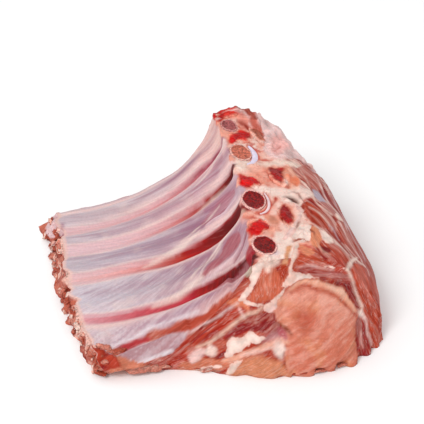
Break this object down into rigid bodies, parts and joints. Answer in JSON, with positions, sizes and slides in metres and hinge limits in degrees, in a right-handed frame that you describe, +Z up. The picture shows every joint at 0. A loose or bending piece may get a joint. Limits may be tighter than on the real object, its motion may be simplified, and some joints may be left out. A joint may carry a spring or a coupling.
{
  "type": "raw beef rib rack",
  "caption": "Raw bone-in beef rib rack lying on its outer side: rib bones under membrane, sawn backbone along the ridge, rib eye at the front cut",
  "frame": {"origin": "middle of the bounding box's underside, on the surface that the rack lies on", "axes": "+Z is up; +Y runs along the backbone from the front cut to the rear cut; +X runs across the ribs, from the rib tips to the back muscles"},
  "size_m": [0.3362, 0.3133, 0.1337],
  "materials": {
    "meat": "wet raw beef, red-brown muscle with cream fat seams and a lilac-white membrane inside",
    "rib": "rib bone under a moist lilac-white membrane, sawn ends cream round dark marrow",
    "marrow_bone": "freshly sawn vertebra, bright red and spongy",
    "spongy_bone": "sawn spine bone, dull red and spongy with a pale rim",
    "cartilage": "smooth moist joint cartilage, lilac white"
  },
  "bodies": {
    "root": {"meat": "meat", "rib_1": "rib", "rib_2": "rib", "rib_3": "rib", "rib_4": "rib", "rib_5": "rib", "rib_6": "rib", "vertebra_1": "marrow_bone", "vertebra_2": "marrow_bone", "vertebra_3": "marrow_bone", "vertebra_4": "marrow_bone", "spine_1": "spongy_bone", "spine_2": "spongy_bone", "spine_3": "spongy_bone", "cartilage_2": "cartilage", "cartilage_3": "cartilage"}
  },
  "joints": []
}
